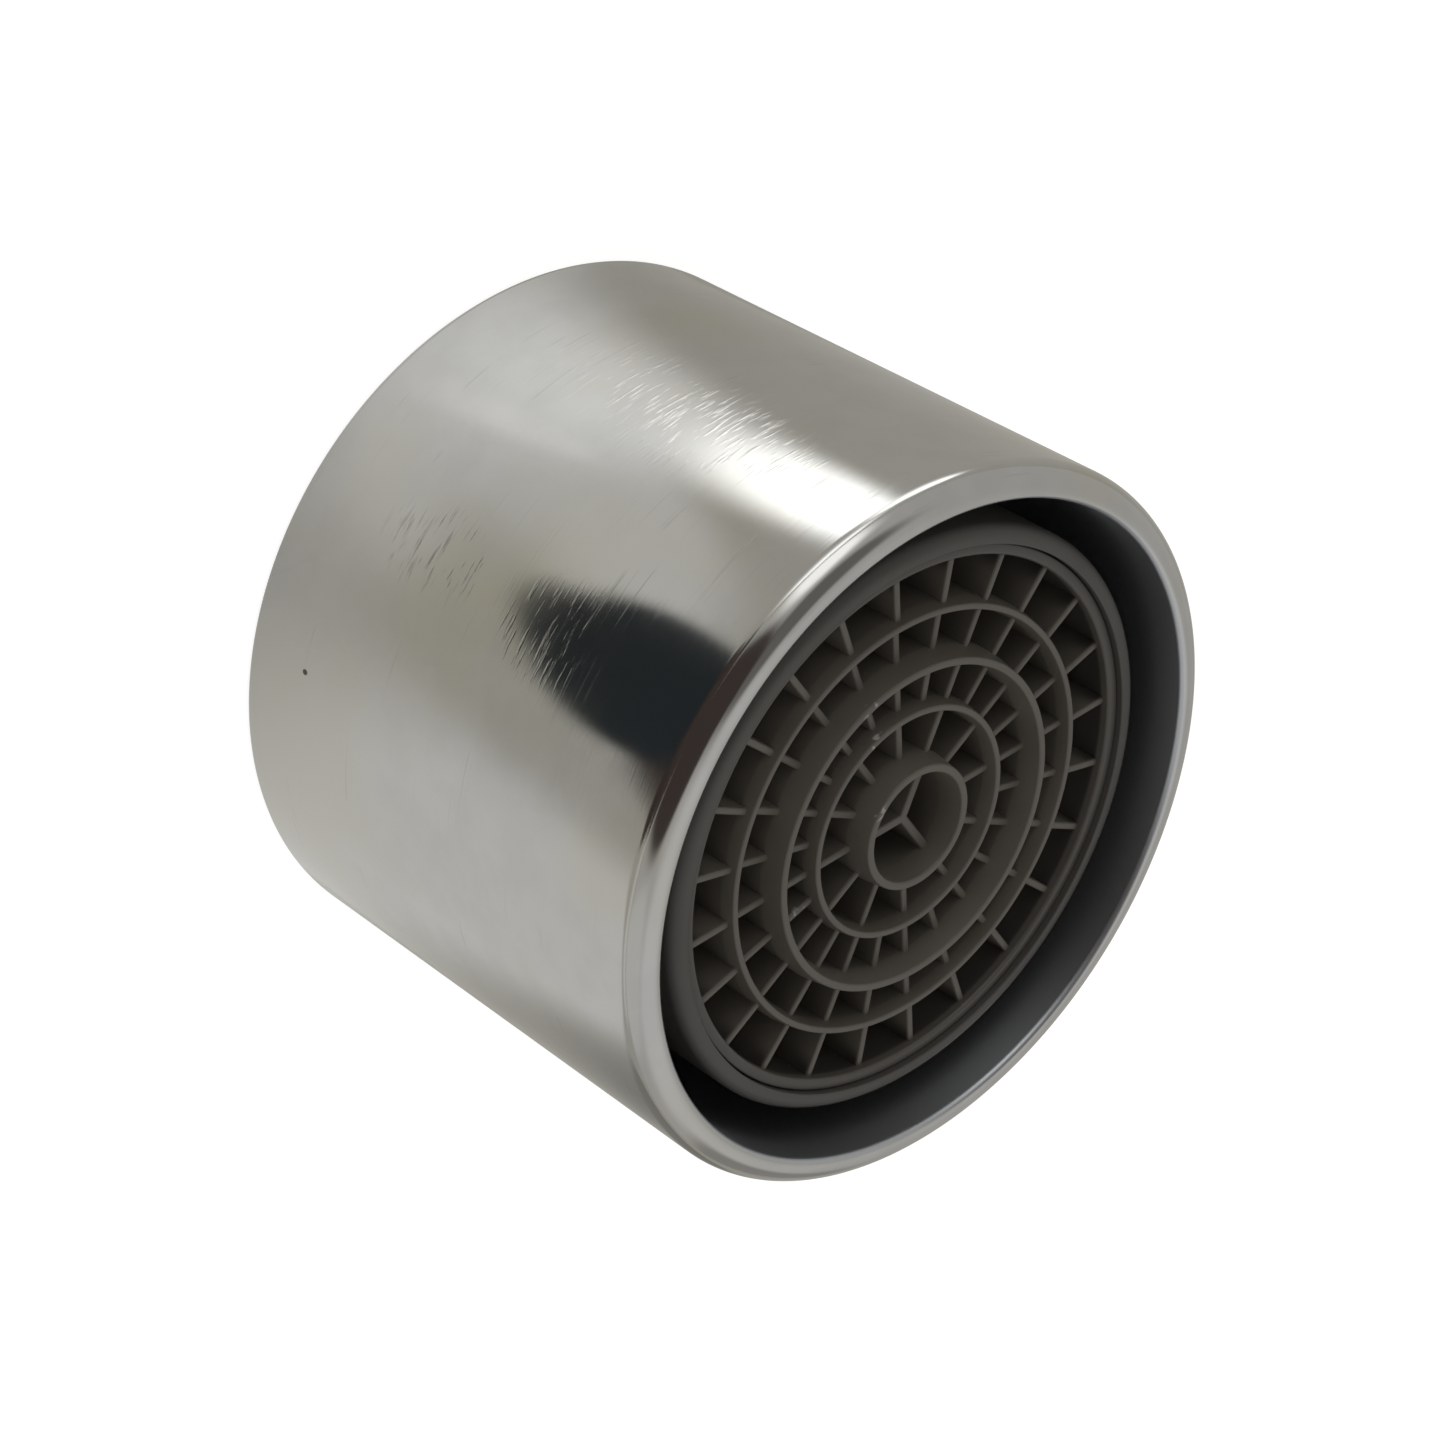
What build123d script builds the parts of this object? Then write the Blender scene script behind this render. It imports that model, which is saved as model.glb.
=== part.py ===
"""Tap aerator: a turned metal shell that screws onto a spout, and the moulded insert that it holds.

Millimetres. The aerator stands on its inlet end: +Z runs from the inlet to the outlet, and the
origin is the centre of the inlet end face. Every inner piece rests on the next one downstream.
"""
import os
from math import cos, radians, sin

from build123d import *

# Shell: a sleeve with an internal thread at the inlet and a ledge for the insert
THREAD_DIAMETER = 22.0  # nominal size of the internal thread, at the roots of its ridges
THREAD_DEPTH = 0.54  # height of the ridges, and the step to the seat bore behind them
THREAD_LENGTH = 6.0
THREAD_RUNOUT = 0.2  # seat bore in front of the washer
SHELL_WALL = 1.0  # at the thread's roots
LIP_WALL = 1.05  # at the outlet
MOUTH_CHAMFER = 0.3
INLET_EDGE = 0.3  # bevel of the outer edge at the inlet
LIP_ROUNDING = 0.8  # of the outlet lip, outside
LIP_FLATS = 3  # strips that make up the lip's rounding
LIP_BEVEL = 0.2  # of the outlet lip, inside
LEDGE_WIDTH = 0.4
LEDGE_HEIGHT = 1.2
OUTLET_RECESS = 1.5  # from the tops of the grille's ribs to the lip

# Sealing washer
WASHER_THICKNESS = 2.0
WASHER_WIDTH = 2.2
WASHER_CLEARANCE = 0.1  # in the seat bore

# Insert housing
FLANGE_THICKNESS = 1.2
FLANGE_CLEARANCE = 0.1  # in the seat bore
HOUSING_GAP = 0.28  # between the housing and the shell's ledge
HOUSING_WALL = 0.61  # round the two sockets
HOUSING_STEP = 0.45  # the shoulder between the sockets
HOUSING_EDGE = 0.25  # bevel of the outlet rim
SOCKET_CLEARANCE = 0.07  # round the pieces in the sockets
WINDOW_COUNT = 8
WINDOW_WIDTH = 3.6
WINDOW_MARGIN = 0.3  # above and below an air window

# Inlet strainer
STRAINER_RIM = 0.8
STRAINER_SETBACK = 0.2  # the mesh stays this far behind the washer's face
STRAINER_GAP = 0.3  # between the cone and the washer's opening
STRAINER_WALL = 0.5
STRAINER_CONE = 2.4  # width of the cone round the mesh, seen along the axis
MESH_HOLE = 1.0
MESH_BAR = 0.6

# Jet plate
PLATE_THICKNESS = 1.4
PLATE_RISE = 0.5  # the blunt cone at its centre, against the stream
JET_COUNT = 12
JET_WIDTH = 0.8
JET_LENGTH = 1.6
JET_MARGIN = 1.5  # from the plate's edge to the jets

# Mixing grids
MIXING_GAP = 1.7  # between the jet plate and the first grid
GRID_CLEARANCE = 0.1  # in the housing's throat
GRID_RIM_WIDTH = 0.55
GRID_RIM_HEIGHT = 1.2
GRID_WEB = 0.6
GRID_PITCH = 2.0
GRID_BAR = 0.6

# Outlet grille
GRILLE_DEPTH = 2.9  # height of the ribs
GRILLE_RIM = 0.35  # width of the outer ring
OUTER_CELL = 1.845  # from the outer ring to the next ring, middle to middle
RING_PITCH = 1.64
RING_WIDTH = 0.3
TALL_RING_WIDTH = 0.42
HUB_RADIUS = 2.0  # middle of the hub's wall
HUB_WALL = 0.42
RIB_WIDTH = 0.3
RIB_COUNT = 24
HUB_RIB_COUNT = 12
WEB_ARMS = 3
WEB_WIDTH = 0.3
WEB_TURN = 90.0
RIM_RISE = 0.35  # how far each ring stands above the ribs
RING_RISE = 0.3
TALL_RING_RISE = 0.65
HUB_RISE = 0.7
WEB_RISE = 0.05
HOUSING_RISE = 0.2  # how far the housing's rim stands above the grille's outer ring

# Radii, from the thread inwards
bore_radius = THREAD_DIAMETER / 2
shell_radius = bore_radius + SHELL_WALL
outlet_radius = shell_radius - LIP_WALL
seat_radius = bore_radius - THREAD_DEPTH
ledge_radius = seat_radius - LEDGE_WIDTH
housing_radius = ledge_radius - HOUSING_GAP
socket_radius = housing_radius - HOUSING_WALL
throat_radius = socket_radius - HOUSING_STEP
insert_radius = socket_radius - SOCKET_CLEARANCE
flange_radius = seat_radius - FLANGE_CLEARANCE
washer_radius = seat_radius - WASHER_CLEARANCE
washer_opening = washer_radius - WASHER_WIDTH
grid_radius = throat_radius - GRID_CLEARANCE

# Heights, from the inlet to the outlet
washer_bottom = THREAD_LENGTH + THREAD_RUNOUT
flange_bottom = washer_bottom + WASHER_THICKNESS
ledge_top = flange_bottom + FLANGE_THICKNESS
plate_bottom = flange_bottom + STRAINER_RIM
plate_top = plate_bottom + PLATE_THICKNESS
upper_grid_bottom = plate_top + MIXING_GAP
lower_grid_bottom = upper_grid_bottom + GRID_RIM_HEIGHT
grille_bottom = lower_grid_bottom + GRID_RIM_HEIGHT
rib_top = grille_bottom + GRILLE_DEPTH
housing_top = rib_top + RIM_RISE + HOUSING_RISE
shell_length = rib_top + OUTLET_RECESS


def turned(corners):
    """Solid of revolution about Z of a closed outline; each corner is (radius, height)."""
    return revolve(Plane.XZ * make_face(Polyline(*corners, close=True)), Axis.Z)


def spokes(count, inner, outer, width, turn=0.0):
    """Flat radial bars, evenly spaced."""
    bar = Pos((inner + outer) / 2, 0) * Rectangle(outer - inner, width)
    return [Rot(0, 0, turn + number * 360 / count) * bar for number in range(count)]


def raised(flat, bottom, top):
    """Prism of a flat outline between two heights."""
    return extrude(Pos(0, 0, bottom) * flat, amount=top - bottom)


def make_shell():
    """Sleeve with a chamfered mouth, a seat bore with a ledge, a cone behind it and a rounded lip."""
    ledge_end = ledge_top + LEDGE_HEIGHT
    cone_end = ledge_end + outlet_radius - ledge_radius
    steps = [radians(90 * step / LIP_FLATS) for step in range(LIP_FLATS + 1)]
    lip = [
        (
            shell_radius - LIP_ROUNDING + LIP_ROUNDING * cos(angle),
            shell_length - LIP_ROUNDING + LIP_ROUNDING * sin(angle),
        )
        for angle in steps
    ]
    return turned(
        [
            (bore_radius + MOUTH_CHAMFER, 0),
            (shell_radius - INLET_EDGE, 0),
            (shell_radius, INLET_EDGE),
            *lip,
            (outlet_radius + LIP_BEVEL, shell_length),
            (outlet_radius, shell_length - LIP_BEVEL),
            (outlet_radius, cone_end),
            (ledge_radius, ledge_end),
            (ledge_radius, ledge_top),
            (seat_radius, ledge_top),
            (seat_radius, THREAD_LENGTH),
            (bore_radius, THREAD_LENGTH),
            (bore_radius, MOUTH_CHAMFER),
        ]
    )


def make_washer():
    """Flat washer between the spout's end and the insert."""
    return raised(Circle(washer_radius) - Circle(washer_opening), washer_bottom, flange_bottom)


def make_strainer():
    """Sieve: a flat mesh on a low cone, with a rim that the washer holds down."""
    top = washer_bottom + STRAINER_SETBACK
    rim_end = flange_bottom + STRAINER_RIM
    foot_radius = washer_opening - STRAINER_GAP
    mesh_radius = foot_radius - STRAINER_CONE
    body = turned(
        [
            (0, top),
            (mesh_radius, top),
            (foot_radius, flange_bottom),
            (insert_radius, flange_bottom),
            (insert_radius, rim_end),
            (foot_radius, rim_end),
            (mesh_radius - STRAINER_WALL / 2, top + STRAINER_WALL),
            (0, top + STRAINER_WALL),
        ]
    )
    pitch = MESH_HOLE + MESH_BAR
    reach = mesh_radius - MESH_BAR
    steps = range(-int(reach / pitch), int(reach / pitch) + 1)
    centres = [Vector(column * pitch, row * pitch) for column in steps for row in steps]
    hole = Rectangle(MESH_HOLE, MESH_HOLE)
    half_diagonal = hole.bounding_box().diagonal / 2
    mesh = [Pos(centre) * hole for centre in centres if centre.length + half_diagonal < reach]
    return body - raised(Sketch() + mesh, top, top + STRAINER_WALL)


def make_jet_plate():
    """Plate with a blunt cone against the stream and a row of slots round it."""
    jet_end = insert_radius - JET_MARGIN
    cone_radius = jet_end - JET_LENGTH - JET_WIDTH
    plate = turned(
        [
            (0, plate_bottom - PLATE_RISE),
            (cone_radius, plate_bottom),
            (insert_radius, plate_bottom),
            (insert_radius, plate_top),
            (0, plate_top),
        ]
    )
    jets = spokes(JET_COUNT, jet_end - JET_LENGTH, jet_end, JET_WIDTH)
    return plate - raised(Sketch() + jets, plate_bottom, plate_top)


def make_grid(bottom, turn):
    """Mixing grid: a tall rim, and thin parallel bars across its inlet side."""
    opening = grid_radius - GRID_RIM_WIDTH
    reach = int((opening - GRID_BAR / 2) / GRID_PITCH)
    bar = Rectangle(2 * grid_radius, GRID_BAR)
    bars = [Pos(0, number * GRID_PITCH) * bar for number in range(-reach, reach + 1)]
    across = Rot(0, 0, turn) * ((Sketch() + bars) & Circle(grid_radius))
    rim = raised(Circle(grid_radius) - Circle(opening), bottom, bottom + GRID_RIM_HEIGHT)
    return rim + raised(across, bottom, bottom + GRID_WEB)


def make_housing():
    """Tube with a flange on the shell's ledge, a socket at each end and air windows between."""
    tube = turned(
        [
            (socket_radius, flange_bottom),
            (flange_radius, flange_bottom),
            (flange_radius, ledge_top),
            (housing_radius, ledge_top),
            (housing_radius, housing_top - HOUSING_EDGE),
            (housing_radius - HOUSING_EDGE, housing_top),
            (socket_radius, housing_top),
            (socket_radius, grille_bottom),
            (throat_radius, grille_bottom),
            (throat_radius, plate_top),
            (socket_radius, plate_top),
        ]
    )
    openings = spokes(WINDOW_COUNT, throat_radius / 2, shell_radius, WINDOW_WIDTH)
    windows = raised(
        Sketch() + openings,
        plate_top + WINDOW_MARGIN,
        upper_grid_bottom - WINDOW_MARGIN,
    )
    return tube - windows


def grille_ring(middle, width, rise):
    """Ring of the grille from its foot to its top, which stands above the ribs."""
    flat = Circle(middle + width / 2) - Circle(middle - width / 2)
    return raised(flat, grille_bottom, rib_top + rise)


def make_grille():
    """Stream former: hub, rings and outer ring, tied by ribs, and a three-arm web in the hub."""
    rim_middle = insert_radius - GRILLE_RIM / 2
    middles = [rim_middle]
    middle = rim_middle - OUTER_CELL
    while middle > HUB_RADIUS + RING_PITCH / 2:
        middles.append(middle)
        middle -= RING_PITCH

    rings = [grille_ring(rim_middle, GRILLE_RIM, RIM_RISE)]
    for number, middle in enumerate(middles[1:]):
        tall = number % 2 == 1
        width = TALL_RING_WIDTH if tall else RING_WIDTH
        rings.append(grille_ring(middle, width, TALL_RING_RISE if tall else RING_RISE))
    rings.append(grille_ring(HUB_RADIUS, HUB_WALL, HUB_RISE))

    ribs = spokes(HUB_RIB_COUNT, HUB_RADIUS, middles[-1], RIB_WIDTH)
    for outer, inner in zip(middles, middles[1:]):
        ribs += spokes(RIB_COUNT, inner, outer, RIB_WIDTH)
    arms = spokes(WEB_ARMS, 0, HUB_RADIUS, WEB_WIDTH, WEB_TURN)
    bars = raised(Sketch() + ribs, grille_bottom, rib_top)
    web = raised(Sketch() + arms, grille_bottom, rib_top + WEB_RISE)
    return Part() + rings + bars + web


PIECES = {
    "shell": make_shell(),
    "sealing_washer": make_washer(),
    "inlet_strainer": make_strainer(),
    "jet_plate": make_jet_plate(),
    "upper_mixing_grid": make_grid(upper_grid_bottom, 0),
    "lower_mixing_grid": make_grid(lower_grid_bottom, 90),
    "insert_housing": make_housing(),
    "outlet_grille": make_grille(),
}

os.makedirs("parts", exist_ok=True)
for name, piece in PIECES.items():
    export_step(piece, f"parts/{name}.step")
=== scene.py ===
"""Looks of the tap aerator: its shell, washer, strainer and moulded insert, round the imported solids.

Sizes are in millimetres until a piece is finished, when it becomes metres. Only the depths of bumps, the
sides of the floor and the lamp, and the camera's range are in metres from the start. +Z runs from the inlet
to the outlet, and the aerator stands on its inlet end, on the floor.
"""
import logging
import math
from collections.abc import Callable, Iterator, Sequence
from contextlib import contextmanager
from dataclasses import dataclass
from enum import Enum
from typing import Any

import bmesh
import bpy
from bpy.types import Material, Node, NodeSocket, NodeTree, Object
from mathutils import Matrix, Vector


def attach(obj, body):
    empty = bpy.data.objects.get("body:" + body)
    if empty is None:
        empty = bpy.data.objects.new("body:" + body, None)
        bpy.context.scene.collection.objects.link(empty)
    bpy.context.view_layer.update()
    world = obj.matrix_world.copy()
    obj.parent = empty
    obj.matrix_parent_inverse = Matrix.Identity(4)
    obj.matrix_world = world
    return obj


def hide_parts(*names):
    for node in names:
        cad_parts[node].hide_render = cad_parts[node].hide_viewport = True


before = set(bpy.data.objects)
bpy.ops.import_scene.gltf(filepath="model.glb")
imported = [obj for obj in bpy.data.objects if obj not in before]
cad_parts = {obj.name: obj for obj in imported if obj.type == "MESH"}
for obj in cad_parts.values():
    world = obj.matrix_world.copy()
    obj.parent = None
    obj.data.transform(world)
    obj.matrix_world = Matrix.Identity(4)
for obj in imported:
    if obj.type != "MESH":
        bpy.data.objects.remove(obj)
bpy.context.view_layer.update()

LOG = logging.getLogger("tap_aerator")
BODY = "root"
MILLIMETRE = 0.001
FULL_TURN = 2 * math.pi
MERGE_DISTANCE = 0.0005
BURIED = 0.03  # how deep a solid sinks into the one that it is joined to
ALONG = 0.9  # least share of a direction that counts as lying along an axis
ACROSS = 0.1  # largest share of one that counts as lying across it
EDGE_STRIPS = 3
SMOOTH_DEG = 35.0

Colour = tuple[float, float, float]
Place = tuple[float, float, float]


class Slot(Enum):
    """Material slots of the record."""

    PLATED_METAL = "plated_metal"
    GREY_PLASTIC = "grey_plastic"
    PALE_PLASTIC = "pale_plastic"
    BLACK_RUBBER = "black_rubber"


class Part(Enum):
    """Elements of a mesh that a selection is made of."""

    CORNER = "VERT"
    EDGE = "EDGE"
    FACE = "FACE"


class Merge(Enum):
    """Ways to put two solids together."""

    JOIN = "UNION"
    CUT = "DIFFERENCE"
    TRIM = "INTERSECT"


# Bench work


def deselect() -> None:
    """Leave edit mode and select nothing."""
    active = bpy.context.view_layer.objects.active
    if active is not None and active.mode != "OBJECT":
        bpy.ops.object.mode_set(mode="OBJECT")
    bpy.ops.object.select_all(action="DESELECT")


def take(piece: Object) -> None:
    """Select one piece alone and make it the active one.

    Args:
        piece: Object to work on.
    """
    deselect()
    piece.select_set(True)
    bpy.context.view_layer.objects.active = piece


def settle() -> None:
    """Put the active object's place, turn and size into its mesh."""
    bpy.ops.object.transform_apply(location=True, rotation=True, scale=True)


@contextmanager
def editing(piece: Object) -> Iterator[None]:
    """Edit one piece alone, with all of it selected to begin with.

    Args:
        piece: Mesh object to edit.
    """
    take(piece)
    bpy.ops.object.mode_set(mode="EDIT")
    bpy.ops.mesh.select_mode(type=Part.CORNER.value)
    bpy.ops.mesh.select_all(action="SELECT")
    yield
    bpy.ops.object.mode_set(mode="OBJECT")


def pick(part: Part, test: Callable[[Vector, Vector], bool]) -> None:
    """Select the elements that pass a test, and nothing else, in edit mode.

    Args:
        part: Kind of element.
        test: Takes an element's middle and its normal, or its direction for an edge.
    """
    bpy.ops.mesh.select_mode(type=part.value)
    bpy.ops.mesh.select_all(action="DESELECT")
    mesh = bpy.context.object.data
    built = bmesh.from_edit_mesh(mesh)
    if part is Part.CORNER:
        elements = [(corner, corner.co, corner.normal) for corner in built.verts]
    elif part is Part.EDGE:
        ends = [(edge, edge.verts[0].co, edge.verts[1].co) for edge in built.edges]
        elements = [(edge, (a + b) / 2, (b - a).normalized()) for edge, a, b in ends]
    else:
        elements = [(face, face.calc_center_median(), face.normal) for face in built.faces]
    for element, middle, direction in elements:
        if test(middle, direction):
            element.select_set(True)
    built.select_flush_mode()
    bmesh.update_edit_mesh(mesh)


def close_up() -> None:
    """Merge doubled corners and turn all faces outwards, in edit mode."""
    bpy.ops.mesh.select_mode(type=Part.CORNER.value)
    bpy.ops.mesh.select_all(action="SELECT")
    bpy.ops.mesh.remove_doubles(threshold=MERGE_DISTANCE)
    bpy.ops.mesh.normals_make_consistent(inside=False)


def modify(piece: Object, kind: str, **settings: Any) -> None:
    """Add a modifier to a piece and apply it.

    Args:
        piece: Object to change.
        kind: Type of the modifier.
        **settings: Values of the modifier's properties.
    """
    take(piece)
    modifier = piece.modifiers.new(kind.lower(), kind)
    for name, value in settings.items():
        setattr(modifier, name, value)
    bpy.ops.object.modifier_apply(modifier=modifier.name)


def combine(piece: Object, tool: Object, merge: Merge) -> None:
    """Join, cut or trim a piece with a second solid, which is then removed.

    Args:
        piece: Solid that is kept.
        tool: Solid that is joined, cut out or kept to.
        merge: How the two go together.
    """
    modify(piece, "BOOLEAN", operation=merge.value, object=tool, solver="EXACT")
    bpy.data.objects.remove(tool)
    with editing(piece):
        bpy.ops.mesh.remove_doubles(threshold=MERGE_DISTANCE)


@dataclass(frozen=True)
class Corner:
    """Corner of a turned profile: its radius, its height, its rounding and the strips of that."""

    radius: float
    height: float
    rounding: float = 0.0
    strips: int = 4

    def place(self) -> Vector:
        """Return where the corner lies in the profile's plane."""
        return Vector((self.radius, 0, self.height))


def tangent_length(corner: Corner, before: Corner, after: Corner) -> float:
    """Return how far from a corner its rounding starts.

    Args:
        corner: Corner that is rounded.
        before: Corner that comes before it in the profile.
        after: Corner that comes after it.

    Returns:
        Distance along both edges, in millimetres.
    """
    towards = before.place() - corner.place()
    onwards = after.place() - corner.place()
    return corner.rounding / math.tan(towards.angle(onwards) / 2)


def draw_face(name: str, corners: Sequence[Vector]) -> Object:
    """Draw a flat face, corner by corner.

    Args:
        name: Name of the piece.
        corners: Where its corners lie, in order.

    Returns:
        The face, as a piece of its own.
    """
    deselect()
    bpy.ops.mesh.primitive_plane_add(size=1)
    piece = bpy.context.object
    piece.name = piece.data.name = name
    with editing(piece):
        bpy.ops.mesh.merge(type="CENTER")
        bpy.ops.transform.translate(value=corners[0])
        for before, after in zip(corners, corners[1:]):
            bpy.ops.mesh.extrude_region_move(TRANSFORM_OT_translate={"value": after - before})
        bpy.ops.mesh.select_all(action="SELECT")
        bpy.ops.mesh.edge_face_add()
    return piece


def turn_profile(name: str, corners: Sequence[Corner], steps: int = 192) -> Object:
    """Turn a closed profile round the Z axis.

    Args:
        name: Name of the piece.
        corners: Profile in order; it closes by itself.
        steps: Facets round the axis.

    Returns:
        The turned solid.
    """
    piece = draw_face(name, [corner.place() for corner in corners])
    with editing(piece):
        for number, corner in enumerate(corners):
            if corner.rounding == 0:
                continue
            place = corner.place()
            pick(Part.CORNER, lambda middle, _: (middle - place).length < MERGE_DISTANCE)
            after = corners[(number + 1) % len(corners)]
            bpy.ops.mesh.bevel(
                affect="VERTICES",
                offset_type="OFFSET",
                offset=tangent_length(corner, corners[number - 1], after),
                segments=corner.strips,
                profile=0.5,
            )
        bpy.ops.mesh.select_all(action="SELECT")
        bpy.ops.mesh.delete(type="ONLY_FACE")
        bpy.ops.mesh.select_all(action="SELECT")
        bpy.ops.mesh.spin(steps=steps, angle=FULL_TURN, center=(0, 0, 0), axis=(0, 0, 1))
        close_up()
    return piece


def array_round(piece: Object, count: int) -> None:
    """Copy a solid evenly round the Z axis, within its own mesh.

    Args:
        piece: Solid at the first place.
        count: How many there are in all.
    """
    last = FULL_TURN * (count - 1) / count
    with editing(piece):
        bpy.ops.mesh.spin(steps=count - 1, angle=last, dupli=True, center=(0, 0, 0), axis=(0, 0, 1))


def add_block(name: str, size: Sequence[float], middle: Sequence[float]) -> Object:
    """Add a block to start a piece from.

    Args:
        name: Name of the piece.
        size: Its three sides.
        middle: Its centre.

    Returns:
        The block, with its size and place in its mesh.
    """
    deselect()
    bpy.ops.mesh.primitive_cube_add(size=1, location=middle, scale=size)
    block = bpy.context.object
    block.name = block.data.name = name
    settle()
    return block


def join_all(pieces: Sequence[Object]) -> Object:
    """Join loose solids into the first one's mesh.

    Args:
        pieces: Objects to join.

    Returns:
        The first object, which now holds all of them.
    """
    take(pieces[0])
    for piece in pieces:
        piece.select_set(True)
    bpy.ops.object.join()
    return pieces[0]


def hand_over(
    piece: Object,
    node: str,
    material: Material,
    smooth_deg: float = SMOOTH_DEG,
) -> None:
    """Bring a piece to metres, dress it, and put it in its solid's place.

    Args:
        piece: Finished piece, in millimetres.
        node: Solid that it stands for.
        material: Its finish.
        smooth_deg: Edges sharper than this stay sharp.
    """
    take(piece)
    piece.scale = (MILLIMETRE,) * 3
    settle()
    bpy.ops.object.shade_smooth_by_angle(angle=math.radians(smooth_deg))
    piece.data.materials.clear()
    piece.data.materials.append(material)
    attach(piece, BODY)
    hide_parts(node)
    LOG.info("%s stands for %s: %d faces", piece.name, node, len(piece.data.polygons))


# Shader work


@dataclass(frozen=True)
class Speckle:
    """Pattern of noise: its waves in a metre, its layers, the range that it shows, and its stretch."""

    scale: float
    detail: float
    low: float
    high: float
    stretch: Place = (1, 1, 1)


class Nodes:
    """Node tree under construction."""

    def __init__(self, tree: NodeTree) -> None:
        """Keep the tree that nodes are added to."""
        self.tree = tree

    def add(self, kind: str, inputs: dict[Any, Any] | None = None, **settings: Any) -> Node:
        """Add a node.

        Args:
            kind: Type of the node, without its prefix.
            inputs: For each input's name or number, a value or the socket that feeds it.
            **settings: Values of the node's properties.

        Returns:
            The node.
        """
        node = self.tree.nodes.new(f"ShaderNode{kind}")
        for name, value in settings.items():
            setattr(node, name, value)
        for name, value in (inputs or {}).items():
            if isinstance(value, NodeSocket):
                self.link(value, node.inputs[name])
            else:
                node.inputs[name].default_value = value
        return node

    def link(self, source: NodeSocket, target: NodeSocket) -> None:
        """Feed one socket from another."""
        self.tree.links.new(source, target)

    def math(self, operation: str, *values: Any) -> NodeSocket:
        """Return the result of a sum.

        Args:
            operation: What to work out.
            *values: Numbers or sockets.

        Returns:
            Socket with the result.
        """
        return self.add("Math", dict(enumerate(values)), operation=operation).outputs[0]

    def mix(self, share: Any, first: Any, second: Any) -> NodeSocket:
        """Return a mix of two colours.

        Args:
            share: How much of the second colour shows.
            first: Colour or socket.
            second: Colour or socket.

        Returns:
            Socket with the mixed colour.
        """
        inputs = {0: share}
        for number, value in ((6, first), (7, second)):
            inputs[number] = value if isinstance(value, NodeSocket) else (*value, 1)
        return self.add("Mix", inputs, data_type="RGBA").outputs[2]

    def ramp(
        self, value: Any, low: float = 0.0, high: float = 1.0, start: float = 0.0, end: float = 1.0
    ) -> NodeSocket:
        """Return a value carried smoothly from one range to another.

        Args:
            value: Number or socket.
            low: Where the range begins.
            high: Where it ends.
            start: Result at the beginning.
            end: Result at the end.

        Returns:
            Socket with the result.
        """
        node = self.add(
            "MapRange",
            {"Value": value, "From Min": low, "From Max": high, "To Min": start, "To Max": end},
            interpolation_type="SMOOTHSTEP",
        )
        return node.outputs["Result"]

    def noise(self, scale: Any, detail: float = 3.0, stretch: Place = (1, 1, 1)) -> NodeSocket:
        """Return noise on the piece's own coordinates.

        Args:
            scale: Waves in a metre.
            detail: Layers of finer noise.
            stretch: Factor along each axis.

        Returns:
            Socket with the noise, from 0 to 1.
        """
        place = self.add("TexCoord").outputs["Object"]
        if stretch != (1, 1, 1):
            place = self.add("Mapping", {"Vector": place, "Scale": stretch}).outputs[0]
        return self.add("TexNoise", {"Vector": place, "Scale": scale, "Detail": detail}).outputs[0]

    def speckle(self, pattern: Speckle) -> NodeSocket:
        """Return a mask of noise.

        Args:
            pattern: Its values.

        Returns:
            Socket with the mask, from 0 to 1.
        """
        noise = self.noise(pattern.scale, pattern.detail, pattern.stretch)
        return self.ramp(noise, pattern.low, pattern.high)

    def radius(self) -> NodeSocket:
        """Return the distance from the Z axis, in millimetres."""
        place = self.add("TexCoord").outputs["Object"]
        flat = self.add("Mapping", {"Vector": place, "Scale": (1, 1, 0)}).outputs[0]
        length = self.add("VectorMath", {0: flat}, operation="LENGTH").outputs["Value"]
        return self.math("DIVIDE", length, MILLIMETRE)

    def height(self) -> NodeSocket:
        """Return the place along the Z axis, in millimetres."""
        place = self.add("SeparateXYZ", {0: self.add("TexCoord").outputs["Object"]})
        return self.math("DIVIDE", place.outputs["Z"], MILLIMETRE)

    def spot(
        self,
        middle: Sequence[float],
        reach: Sequence[float],
        turn: float = 0.0,
        place: NodeSocket | None = None,
        unit: float = MILLIMETRE,
    ) -> NodeSocket:
        """Return a soft spot.

        Args:
            middle: Where it is.
            reach: Its half size along each of its axes.
            turn: Its turn about Z, in degrees.
            place: Coordinates to use, if not the piece's own.
            unit: Length of one unit of the middle and the reach.

        Returns:
            Socket that is 1 at its middle and 0 outside it.
        """
        own = self.add(
            "Mapping",
            {
                "Vector": place or self.add("TexCoord").outputs["Object"],
                "Location": [value * unit for value in middle],
                "Rotation": (0, 0, math.radians(turn)),
                "Scale": [value * unit for value in reach],
            },
            vector_type="TEXTURE",
        )
        length = self.add("VectorMath", {0: own.outputs[0]}, operation="LENGTH").outputs["Value"]
        return self.ramp(length, start=1.0, end=0.0)


def new_group(name: str, inputs: dict[str, float], outputs: Sequence[str]) -> tuple[Nodes, Any, Any]:
    """Start a shared effect.

    Args:
        name: Name of the group.
        inputs: Its numbers, with their usual values.
        outputs: Names of what it puts out.

    Returns:
        The group's nodes, its inputs' sockets and its output node.
    """
    tree = bpy.data.node_groups.new(name, "ShaderNodeTree")
    for label, value in inputs.items():
        socket = tree.interface.new_socket(name=label, in_out="INPUT", socket_type="NodeSocketFloat")
        socket.default_value = value
    for label in outputs:
        tree.interface.new_socket(name=label, in_out="OUTPUT", socket_type="NodeSocketFloat")
    entry = tree.nodes.new("NodeGroupInput")
    leave = tree.nodes.new("NodeGroupOutput")
    return Nodes(tree), entry.outputs, leave.inputs


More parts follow.
